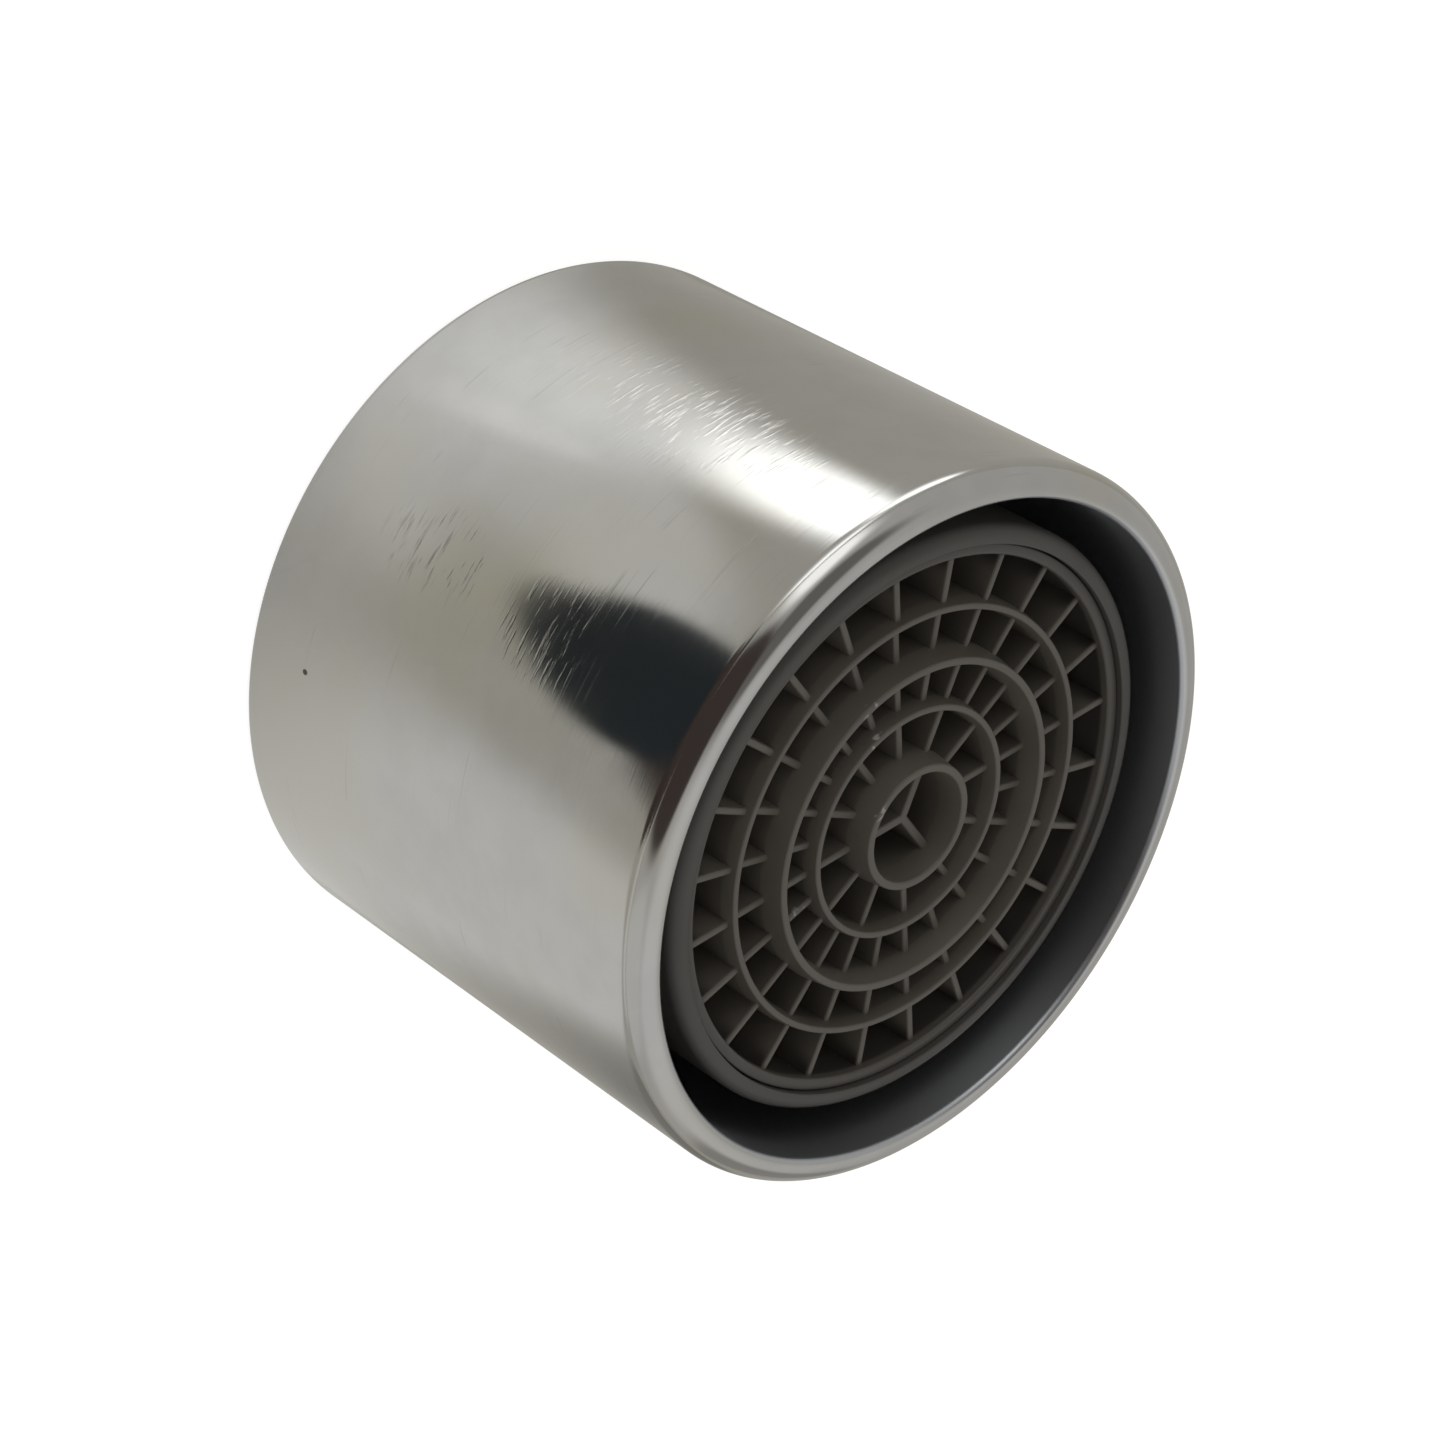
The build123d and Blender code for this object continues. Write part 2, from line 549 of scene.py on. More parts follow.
def new_material(name: str) -> tuple[Material, Nodes, Node]:
    """Start a material.

    Args:
        name: Name of the finish.

    Returns:
        The material, its nodes and its main shader.
    """
    material = bpy.data.materials.new(name)
    material.use_nodes = True
    tree = material.node_tree
    return material, Nodes(tree), tree.nodes["Principled BSDF"]


def mould_grain() -> NodeTree:
    """Make the fine grain and cloudy tone of a moulded surface.

    Returns:
        Group with a height for bump and a tone for colour.
    """
    waves = {"Grain Size": 9000.0, "Cloud Size": 260.0}
    nodes, given, out = new_group("mould_grain", waves, ["Height", "Tone"])
    grain = nodes.noise(given["Grain Size"], detail=2.0)
    cloud = nodes.noise(given["Cloud Size"], detail=4.0)
    nodes.link(grain, out["Height"])
    nodes.link(nodes.ramp(cloud, low=0.3, high=0.7), out["Tone"])
    return nodes.tree


def turning_marks() -> NodeTree:
    """Make the hairlines that run round a turned and polished sleeve.

    Returns:
        Group with a height for bump and a mask of the deeper lines.
    """
    nodes, given, out = new_group("turning_marks", {"Lines": 1.0, "Breaks": 1.0}, ["Height", "Mask"])
    broad_share = 0.35
    fine = nodes.noise(scale=1.0, detail=3.0, stretch=(110.0, 110.0, 9000.0))
    broad = nodes.noise(scale=1.0, detail=2.0, stretch=(260.0, 260.0, 2600.0))
    gaps = nodes.speckle(Speckle(scale=420.0, detail=2.0, low=0.5, high=0.62))
    lines = nodes.ramp(nodes.math("MULTIPLY", fine, given["Lines"]), low=0.6, high=0.72)
    broken = nodes.math("MULTIPLY", lines, nodes.math("MULTIPLY", gaps, given["Breaks"]))
    nodes.link(nodes.math("MULTIPLY_ADD", broad, broad_share, fine), out["Height"])
    nodes.link(broken, out["Mask"])
    return nodes.tree


@dataclass(frozen=True)
class Scuff:
    """Patch of small marks: where it is, its reach, its colour, and how strong and deep they are."""

    middle: Place
    reach: Place
    colour: Colour
    strength: float
    depth: float = 0.0


@dataclass(frozen=True)
class MouldedPlastic:
    """Satin moulded plastic with fine grain and a slightly cloudy colour.

    It can carry painted shade: a darker colour round the outlet, beside the shell's lip, and a darker
    painted shade in the outer cells, fading inwards and downwards.
    """

    name: str
    colour: Colour
    cloud: Colour
    roughness: float
    smoother: float = 0.05
    rougher: float = 0.06
    grain: float = 0.000004
    grain_strength: float = 0.7
    flecks: tuple[Scuff, ...] = ()
    fleck_edge: float = 0.4
    fleck_pattern: Speckle = Speckle(3600.0, 2.0, 0.5, 0.6)
    painted_rim_shade: Colour | None = None
    rim_shade_start: float = 8.55
    rim_shade_end: float = 8.95
    # Painted shade in the grille's outer cells: its colour, the radii where it starts, is full and ends,
    # and the heights over which it fades, with the share left deep down.
    shade: Colour = (0.03, 0.028, 0.025)
    shade_start: float = 8.0
    shade_full: float = 8.65
    shade_end: float = 9.0
    shade_top: float = 17.5
    shade_edge: float = 0.15
    shade_depth: float = 1.0
    shade_left: float = 0.35

    def shaded(self, nodes: Nodes, radius: NodeSocket) -> NodeSocket:
        """Return the share of the dark shade in the outer cells, which fades inwards and downwards.

        Args:
            nodes: Nodes of the finish.
            radius: Distance from the axis, in millimetres.

        Returns:
            Socket from 0 to 1.
        """
        height = nodes.height()
        full = self.shade_top - self.shade_edge
        share = nodes.ramp(height, full, self.shade_top, start=1.0, end=0.0)
        for other in (
            nodes.ramp(height, full - self.shade_depth, full, start=self.shade_left),
            nodes.ramp(radius, self.shade_start, self.shade_full),
            nodes.math("LESS_THAN", radius, self.shade_end),
        ):
            share = nodes.math("MULTIPLY", share, other)
        return share

    def material(self, effect: NodeTree) -> Material:
        """Make the finish.

        Args:
            effect: Shared grain.

        Returns:
            The material.
        """
        material, nodes, principled = new_material(self.name)
        moulded = nodes.add("Group", node_tree=effect)
        bump = nodes.add("Bump", {"Distance": self.grain, "Strength": self.grain_strength})
        nodes.link(moulded.outputs["Height"], bump.inputs["Height"])
        tone = nodes.mix(moulded.outputs["Tone"], self.colour, self.cloud)
        # Painted shade: the colour darkens round the outlet rim beside the shell's lip, and darker still in
        # the outer cells below the ribs' tops.
        if self.painted_rim_shade:
            radius = nodes.radius()
            tone = nodes.mix(nodes.ramp(radius, self.rim_shade_start, self.rim_shade_end), tone, self.painted_rim_shade)
            tone = nodes.mix(self.shaded(nodes, radius), tone, self.shade)
        chips = nodes.speckle(self.fleck_pattern) if self.flecks else None
        for fleck in self.flecks:
            spot = nodes.spot(fleck.middle, fleck.reach)
            share = nodes.ramp(spot, high=self.fleck_edge, end=fleck.strength)
            tone = nodes.mix(nodes.math("MULTIPLY", chips, share), tone, fleck.colour)
        smooth = self.roughness - self.smoother
        rough = nodes.ramp(moulded.outputs["Tone"], start=smooth, end=self.roughness + self.rougher)
        nodes.link(tone, principled.inputs["Base Color"])
        nodes.link(rough, principled.inputs["Roughness"])
        nodes.link(bump.outputs[0], principled.inputs["Normal"])
        return material


@dataclass(frozen=True)
class PlatedMetal:
    """Polished plating with turning marks, scuffs, warm stains and one dark pit; unpolished inside."""

    name: str = "plated_metal"
    colour: Colour = (0.57, 0.57, 0.56)
    dull: Colour = (0.545, 0.545, 0.535)
    stain: Colour = (0.555, 0.545, 0.5)
    scratch: Colour = (0.40, 0.395, 0.38)
    pit: Colour = (0.10, 0.09, 0.08)
    pit_place: Place = (7.74, -9.17, 2.86)
    pit_reach: Place = (0.16, 0.16, 0.2)
    pit_edge: tuple[float, float] = (0.2, 0.6)
    inside: Colour = (0.55, 0.575, 0.605)
    inside_radius: tuple[float, float] = (10.98, 11.12)
    inside_roughness: float = 0.42
    roughness: float = 0.1
    mottle_pattern: Speckle = Speckle(620.0, 4.0, 0.35, 0.65)
    stain_pattern: Speckle = Speckle(130.0, 3.0, 0.42, 0.68)
    scuff_pattern: Speckle = Speckle(1.0, 3.0, 0.52, 0.74, (1000.0, 1000.0, 7200.0))
    scuff_edge: tuple[float, float] = (0.05, 0.6)
    scratch_share: float = 0.45
    scratch_roughness: float = 0.14
    mottle_roughness: float = 0.03
    scuff_roughness: float = 0.12
    faint_scuffs: float = 0.06
    wave: float = 0.00002
    wave_scale: float = 170.0
    wave_strength: float = 0.5
    hairline: float = 0.000002
    hairline_strength: float = 0.35
    dent: float = 0.000008
    dent_strength: float = 0.8
    scuffs: tuple[Scuff, ...] = (
        Scuff((2.9, -11.65, 6.3), (2.2, 1.6, 3.4), (0.26, 0.25, 0.23), 0.6, 0.9),
        Scuff((-4.9, -10.95, 9.8), (3.6, 3.2, 8.0), (0.75, 0.75, 0.74), 0.3, 1.0),
        Scuff((3.2, -11.5, 11.8), (2.6, 1.6, 3.2), (0.7, 0.7, 0.69), 0.3, 0.5),
    )

    def scuffed(self, nodes: Nodes, tone: NodeSocket) -> tuple[NodeSocket, ...]:
        """Scratch the shell where it was handled most.

        Args:
            nodes: Nodes of the finish.
            tone: Colour before.

        Returns:
            The colour after, and a mask of all scratches.
        """
        dashes = nodes.speckle(self.scuff_pattern)
        total = nodes.math("MULTIPLY", dashes, self.faint_scuffs)
        for scuff in self.scuffs:
            spot = nodes.spot(scuff.middle, scuff.reach)
            mask = nodes.math("MULTIPLY", dashes, nodes.ramp(spot, *self.scuff_edge, end=scuff.depth))
            tone = nodes.mix(nodes.math("MULTIPLY", mask, scuff.strength), tone, scuff.colour)
            total = nodes.math("MAXIMUM", total, mask)
        return tone, total

    def worn(self, nodes: Nodes, turned: Node) -> tuple[NodeSocket, ...]:
        """Work out how the polished outside looks.

        Args:
            nodes: Nodes of the finish.
            turned: The turning marks.

        Returns:
            Its colour, its roughness and a mask of its scratches.
        """
        lines = turned.outputs["Mask"]
        mottled = nodes.speckle(self.mottle_pattern)
        stained = nodes.speckle(self.stain_pattern)
        tone = nodes.mix(mottled, self.colour, self.dull)
        tone = nodes.mix(stained, tone, self.stain)
        tone = nodes.mix(nodes.math("MULTIPLY", lines, self.scratch_share), tone, self.scratch)
        tone, scuffs = self.scuffed(nodes, tone)
        dot = nodes.ramp(nodes.spot(self.pit_place, self.pit_reach), *self.pit_edge)
        tone = nodes.mix(dot, tone, self.pit)
        rough = nodes.math("MULTIPLY_ADD", lines, self.scratch_roughness, self.roughness)
        rough = nodes.math("MULTIPLY_ADD", mottled, self.mottle_roughness, rough)
        rough = nodes.math("MULTIPLY_ADD", scuffs, self.scuff_roughness, rough)
        return tone, rough, scuffs

    def material(self, marks: NodeTree) -> Material:
        """Make the finish.

        Args:
            marks: Shared turning marks.

        Returns:
            The material.
        """
        material, nodes, principled = new_material(self.name)
        turned = nodes.add("Group", node_tree=marks)
        tone, rough, scuffs = self.worn(nodes, turned)
        outside = nodes.ramp(nodes.radius(), *self.inside_radius)
        tone = nodes.mix(outside, self.inside, tone)
        rough = nodes.add("Mix", {0: outside, 2: self.inside_roughness, 3: rough}).outputs[0]
        normal = None
        for height, depth, strength in (
            (nodes.noise(self.wave_scale, detail=1.0), self.wave, self.wave_strength),
            (turned.outputs["Height"], self.hairline, self.hairline_strength),
            (scuffs, self.dent, self.dent_strength),
        ):
            bump = nodes.add("Bump", {"Height": height, "Distance": depth, "Strength": strength})
            if normal:
                nodes.link(normal, bump.inputs["Normal"])
            normal = bump.outputs[0]
        principled.inputs["Metallic"].default_value = 1.0
        nodes.link(tone, principled.inputs["Base Color"])
        nodes.link(rough, principled.inputs["Roughness"])
        nodes.link(normal, principled.inputs["Normal"])
        return material


@dataclass
class Shell:
    """Turned sleeve with a rounded outlet lip, a ledge for the insert and an internal thread."""

    radius: float = 12.0
    length: float = 18.9
    bore: float = 11.0
    seat: float = 10.46
    ledge: float = 10.06
    outlet: float = 10.95
    thread_length: float = 6.0
    ledge_top: float = 9.4
    ledge_end: float = 10.6
    cone_end: float = 11.49
    mouth_chamfer: float = 0.3
    inlet_edge: float = 0.3
    lip_rounding: float = 0.8
    lip_edge: float = 0.2
    tool_edge: float = 0.06
    pitch: float = 1.0
    crest: float = 0.25
    flank_deg: float = 30.0
    thread_turns: float = 4.75
    thread_start: float = 0.8
    thread_steps: int = 96  # in a turn
    run_out_steps: int = 12
    run_out_reach: float = 0.01
    steps: int = 256
    smooth_deg: float = 30.0

    def sleeve(self) -> Object:
        """Return the sleeve with a plain bore."""
        return turn_profile(
            "shell_body",
            [
                Corner(self.bore + self.mouth_chamfer, 0, self.tool_edge, 2),
                Corner(self.radius, 0, self.inlet_edge, 6),
                Corner(self.radius, self.length, self.lip_rounding, 14),
                Corner(self.outlet, self.length, self.lip_edge, 6),
                Corner(self.outlet, self.cone_end, self.tool_edge, 2),
                Corner(self.ledge, self.ledge_end, self.tool_edge, 2),
                Corner(self.ledge, self.ledge_top, self.tool_edge, 2),
                Corner(self.seat, self.ledge_top),
                Corner(self.seat, self.thread_length, self.tool_edge, 2),
                Corner(self.bore, self.thread_length),
                Corner(self.bore, self.mouth_chamfer, self.tool_edge, 2),
            ],
            self.steps,
        )

    def ridge(self) -> Object:
        """Return the thread's ridge, which sinks into the wall at both ends."""
        height = self.bore - self.seat
        foot = self.crest / 2 + height * math.tan(math.radians(self.flank_deg))
        start = Vector((0, 0, self.thread_start))
        corners = (
            Vector((self.bore + BURIED, 0, -foot - BURIED)),
            Vector((self.bore + BURIED, 0, foot + BURIED)),
            Vector((self.seat, 0, self.crest / 2)),
            Vector((self.seat, 0, -self.crest / 2)),
        )
        ridge = draw_face("thread_ridge", [start + corner for corner in corners])
        with editing(ridge):
            bpy.ops.mesh.delete(type="ONLY_FACE")
        steps = int(self.thread_turns * self.thread_steps)
        modify(
            ridge,
            "SCREW",
            angle=FULL_TURN * self.thread_turns,
            screw_offset=self.pitch * self.thread_turns,
            steps=steps,
            render_steps=steps,
            axis="Z",
        )
        with editing(ridge):
            bpy.ops.mesh.fill_holes(sides=0)
            close_up()
            self.sink_ends(steps)
        return ridge

    def sink_ends(self, steps: int) -> None:
        """Push the ridge's two ends out into the wall, step by step, in edit mode.

        Args:
            steps: Steps along the whole ridge.
        """
        rise = self.pitch * self.thread_turns / steps
        depth = (self.bore - self.seat + BURIED) / self.seat
        last = self.thread_start + self.pitch * self.thread_turns
        for step in range(self.run_out_steps):
            share = 1 + depth * (1 - step / self.run_out_steps)
            for height, turn in ((self.thread_start, step), (last, -step)):
                level = height + rise * turn
                angle = FULL_TURN * (level - self.thread_start) / self.pitch
                ray = Vector((math.cos(angle), math.sin(angle), 0))
                pick(
                    Part.CORNER,
                    lambda middle, _: abs(middle.z - level) < self.pitch / 2
                    and (Vector((middle.x, middle.y, 0)) / self.seat - ray).length < self.run_out_reach,
                )
                bpy.ops.transform.resize(value=(share, share, 1), center_override=(0, 0, 0))

    def build(self, material: Material) -> None:
        """Build the shell and dress it.

        Args:
            material: Its finish.
        """
        body = self.sleeve()
        combine(body, self.ridge(), Merge.JOIN)
        hand_over(body, "shell", material, self.smooth_deg)


@dataclass
class SealingWasher:
    """Flat rubber washer with soft edges."""

    radius: float = 10.36
    opening: float = 8.16
    bottom: float = 6.2
    top: float = 8.2
    edge: float = 0.25

    def build(self, material: Material) -> None:
        """Build the washer and dress it.

        Args:
            material: Its finish.
        """
        piece = turn_profile(
            "washer_ring",
            [
                Corner(self.opening, self.bottom, self.edge),
                Corner(self.radius, self.bottom, self.edge),
                Corner(self.radius, self.top, self.edge),
                Corner(self.opening, self.top, self.edge),
            ],
        )
        hand_over(piece, "sealing_washer", material)


@dataclass
class InletStrainer:
    """Moulded sieve: a fine mesh on a low cone, with a rim under the washer."""

    mesh_radius: float = 5.46
    foot_radius: float = 7.86
    rim_radius: float = 9.1
    top: float = 6.4
    rim_bottom: float = 8.2
    rim_end: float = 9.0
    wall: float = 0.5
    edge: float = 0.15
    opening_edge: float = 0.1
    cell: float = 0.72
    bar: float = 0.26
    mesh_depth: float = 0.4
    mesh_sides: int = 96

    def cone(self) -> Object:
        """Return the cone with its rim and an open middle."""
        inner = self.mesh_radius - self.wall
        return turn_profile(
            "strainer_sieve",
            [
                Corner(inner, self.top, self.opening_edge, 2),
                Corner(self.mesh_radius, self.top, self.edge),
                Corner(self.foot_radius, self.rim_bottom, self.edge),
                Corner(self.rim_radius, self.rim_bottom, self.edge),
                Corner(self.rim_radius, self.rim_end, self.edge),
                Corner(self.foot_radius, self.rim_end, self.edge),
                Corner(self.mesh_radius - self.wall / 2, self.top + self.wall, self.edge),
                Corner(inner, self.top + self.wall),
            ],
        )

    def mesh(self) -> Object:
        """Return the mesh that fills the cone's opening."""
        limit = self.mesh_radius - self.wall / 2
        across = 2 * math.ceil(limit / self.cell)
        reach = self.mesh_radius - self.wall - self.cell / 2
        deselect()
        bpy.ops.mesh.primitive_grid_add(
            x_subdivisions=across,
            y_subdivisions=across,
            size=across * self.cell,
            location=(0, 0, self.top + BURIED + self.mesh_depth),
        )
        mesh = bpy.context.object
        settle()
        with editing(mesh):
            pick(Part.FACE, lambda middle, _: middle.xy.length < reach)
            bpy.ops.mesh.inset(thickness=self.bar / 2, depth=0, use_individual=True)
            bpy.ops.mesh.delete(type="FACE")
        modify(mesh, "SOLIDIFY", thickness=self.mesh_depth, offset=-1.0)
        deselect()
        bpy.ops.mesh.primitive_cylinder_add(
            vertices=self.mesh_sides, radius=limit, depth=self.rim_end, location=(0, 0, self.top)
        )
        combine(mesh, bpy.context.object, Merge.TRIM)
        return mesh

    def build(self, material: Material) -> None:
        """Build the strainer and dress it.

        Args:
            material: Its finish.
        """
        piece = self.cone()
        combine(piece, self.mesh(), Merge.JOIN)
        hand_over(piece, "inlet_strainer", material)


@dataclass
class InsertHousing:
    """Moulded tube that hangs on the shell's ledge, with a rounded outlet rim and air windows."""

    radius: float = 9.78
    flange: float = 10.36
    socket: float = 9.17
    throat: float = 8.72
    flange_bottom: float = 8.2
    ledge_top: float = 9.4
    plate_top: float = 10.4
    grille_bottom: float = 14.5
    rim: float = 17.95
    rim_rounding: float = 0.4
    edge: float = 0.1
    windows: int = 8
    window_width: float = 3.6
    window_depth: float = 2.2
    window_bottom: float = 10.7
    window_top: float = 11.8
    window_rounding: float = 0.25

    def tube(self) -> Object:
        """Return the tube without its windows."""
        return turn_profile(
            "housing_tube",
            [
                Corner(self.socket, self.flange_bottom, self.edge),
                Corner(self.flange, self.flange_bottom, self.edge),
                Corner(self.flange, self.ledge_top, self.edge),
                Corner(self.radius, self.ledge_top, self.edge),
                Corner(self.radius, self.rim, self.rim_rounding, 8),
                Corner(self.socket, self.rim, self.edge / 2),
                Corner(self.socket, self.grille_bottom),
                Corner(self.throat, self.grille_bottom, self.edge),
                Corner(self.throat, self.plate_top, self.edge),
                Corner(self.socket, self.plate_top),
            ],
        )

    def window(self) -> Object:
        """Return the solid of all windows, with rounded corners."""
        height = self.window_top - self.window_bottom
        middle = (self.radius, 0, self.window_bottom + height / 2)
        cutter = add_block("window", (self.window_depth, self.window_width, height), middle)
        with editing(cutter):
            pick(Part.EDGE, lambda _, direction: abs(direction.x) > ALONG)
            bpy.ops.mesh.bevel(offset=self.window_rounding, segments=4, affect="EDGES")
        array_round(cutter, self.windows)
        return cutter

    def build(self, material: Material) -> None:
        """Build the housing and dress it.

        Args:
            material: Its finish.
        """
        piece = self.tube()
        combine(piece, self.window(), Merge.CUT)
        hand_over(piece, "insert_housing", material)


@dataclass(frozen=True)
class Ring:
    """Ring of the grille: its wall's middle radius, its width, its crest's width and its rise.

    The ribs are those inside it: how many there are, and how far they rise. Both rises are measured
    from the usual top of the ribs.
    """

    middle: float
    width: float
    crest: float
    rise: float
    ribs: int
    rib_rise: float = 0.0


@dataclass
class OutletGrille:
    """Stream former: rings and a hub, tied by thin ribs, with a three-arm web in the hub."""

    bottom: float = 14.5
    rib_top: float = 17.4
    rib_width: float = 0.3
    rib_draft: float = 0.8
    rib_edge: float = 0.07
    web_width: float = 0.3
    web_rise: float = 0.05
    arms: int = 3
    foot_drop: float = 0.15
    foot_rounding: float = 0.5
    crest_rounding: float = 0.07
    rim_edge: float = 0.05
    rim_rounding: float = 0.12
    rim: Ring = Ring(8.94, 0.38, 0.38, 0.35, 24, 0.1)
    rings: tuple[Ring, ...] = (
        Ring(7.09, 0.40, 0.20, 0.32, 24),
        Ring(5.46, 0.52, 0.24, 0.66, 24),
        Ring(3.81, 0.40, 0.20, 0.36, 12),
        Ring(1.98, 0.50, 0.26, 0.72, 0),
    )

    def outer_ring(self) -> Object:
        """Return the outer ring, which has a flat top beside the housing's rim."""
        inner = self.rim.middle - self.rim.width / 2
        outer = self.rim.middle + self.rim.width / 2
        top = self.rib_top + self.rim.rise
        return turn_profile(
            "grille_moulding",
            [
                Corner(inner, self.bottom),
                Corner(outer, self.bottom),
                Corner(outer, top, self.rim_edge, EDGE_STRIPS),
                Corner(inner, top, self.rim_rounding, 5),
            ],
        )

    def ring(self, ring: Ring) -> Object:
        """Return one inner ring, which narrows from the ribs' tops to its crest.

        Args:
            ring: Its sizes.

        Returns:
            The turned ring.
        """
        half = ring.width / 2
        crest = ring.crest / 2
        foot = self.rib_top - self.foot_drop
        top = self.rib_top + ring.rise
        return turn_profile(
            "grille_moulding",
            [
                Corner(ring.middle - half, self.bottom),
                Corner(ring.middle + half, self.bottom),
                Corner(ring.middle + half, foot, self.foot_rounding, 4),
                Corner(ring.middle + crest, top, self.crest_rounding, 4),
                Corner(ring.middle - crest, top, self.crest_rounding, 4),
                Corner(ring.middle - half, foot, self.foot_rounding, 4),
            ],
        )

    def ribs(self, outer: Ring, inner: Ring) -> Object:
        """Return the ribs between two rings, thinner and rounded at their tops.

        Args:
            outer: Ring at their outer ends.
            inner: Ring at their inner ends.

        Returns:
            All ribs of the row, as one object.
        """
        start = inner.middle + BURIED
        end = outer.middle - BURIED
        top = self.rib_top + outer.rib_rise
        height = top - self.bottom - BURIED
        middle = ((start + end) / 2, 0, top - height / 2)
        rib = add_block("rib", (end - start, self.rib_width, height), middle)
        with editing(rib):
            pick(Part.FACE, lambda _, normal: normal.z > ALONG)
            bpy.ops.transform.resize(value=(1, self.rib_draft, 1))
            pick(
                Part.EDGE,
                lambda middle, direction: middle.z > top - BURIED and abs(direction.x) > ALONG,
            )
            bpy.ops.mesh.bevel(offset=self.rib_edge, segments=EDGE_STRIPS, affect="EDGES")
        array_round(rib, outer.ribs)
        return rib

    def web(self) -> Object:
        """Return the three arms that meet on the axis."""
        hub = self.rings[-1]
        height = self.rib_top + self.web_rise - self.bottom - BURIED
        core = self.web_width / math.sqrt(3)
        flat = core / 2
        deselect()
        bpy.ops.mesh.primitive_cylinder_add(
            vertices=self.arms,
            radius=core,
            depth=height,
            location=(0, 0, self.rib_top + self.web_rise - height / 2),
            rotation=(0, 0, math.pi),
        )
        web = bpy.context.object
        settle()
        with editing(web):
            pick(Part.FACE, lambda _, normal: abs(normal.z) < ACROSS)
            length = hub.middle - flat - BURIED
            bpy.ops.mesh.extrude_faces_move(TRANSFORM_OT_shrink_fatten={"value": length})
            pick(
                Part.EDGE,
                lambda middle, direction: middle.z > self.rib_top
                and abs(direction.z) < ACROSS
                and abs(direction.dot(Vector((middle.x, middle.y, 0)).normalized())) > ALONG,
            )
            bpy.ops.mesh.bevel(offset=self.rib_edge, segments=EDGE_STRIPS, affect="EDGES")
        return web

    def build(self, material: Material) -> None:
        """Build the grille as one moulding and dress it.

        Args:
            material: Its finish.
        """
        piece = join_all([self.outer_ring(), *(self.ring(ring) for ring in self.rings)])
        rows = [self.ribs(outer, inner) for outer, inner in zip((self.rim, *self.rings), self.rings)]
        combine(piece, join_all([*rows, self.web()]), Merge.JOIN)
        hand_over(piece, "outlet_grille", material)


def dress_hidden(nodes: Sequence[str], material: Material) -> None:
    """Dress the solids that keep their own shape.

    Args:
        nodes: Names of the solids.
        material: Their finish.
    """
    for name in nodes:
        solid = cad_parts[name]
        solid.data.materials.clear()
        solid.data.materials.append(material)
        LOG.info("%s keeps its solid", name)


@dataclass(frozen=True)
class Card:
    """Soft-edged oval card on the floor, which shows only in reflections."""

    name: str
    middle: tuple[float, float]
    reach: tuple[float, float]
    turn: float
    colour: Colour
    cover: float
    softness: float
    sides: int = 64

    def material(self, lift: float) -> Material:
        """Make its finish, which fades out towards the card's edge.

        Args:
            lift: Its height above the floor, in millimetres.

        Returns:
            The material.
        """
        material, nodes, principled = new_material(self.name)
        nodes.tree.nodes.remove(principled)
        spot = nodes.spot((*self.middle, lift), (*self.reach, max(self.reach)), self.turn)
        mask = nodes.ramp(spot, high=self.softness, end=self.cover)
        shine = nodes.add("Emission", {"Color": (*self.colour, 1), "Strength": 1.0})
        clear = nodes.add("BsdfTransparent")
        mixed = nodes.add("MixShader", {0: mask, 1: clear.outputs[0], 2: shine.outputs[0]})
        nodes.link(mixed.outputs[0], nodes.tree.nodes["Material Output"].inputs["Surface"])
        return material

    def lay(self, lift: float) -> None:
        """Lay the card on the floor, out of the camera's sight.

        Args:
            lift: Its height above the floor, in millimetres.
        """
        deselect()
        bpy.ops.mesh.primitive_circle_add(vertices=self.sides, radius=1, fill_type="NGON")
        card = bpy.context.object
        card.name = card.data.name = self.name
        card.scale = (*(value * MILLIMETRE for value in self.reach), 1)
        card.rotation_euler.z = math.radians(self.turn)
        card.location = [value * MILLIMETRE for value in (*self.middle, lift)]
        settle()
        card.data.materials.append(self.material(lift))
        card.visible_camera = False
        card.visible_diffuse = False
        card.visible_shadow = False


@dataclass(frozen=True)
class Patch:
    """Soft patch of the surround, lighter or darker than the rest: its direction, reach and colour."""

    towards: Place
    reach: Place
    colour: Colour
    softness: float


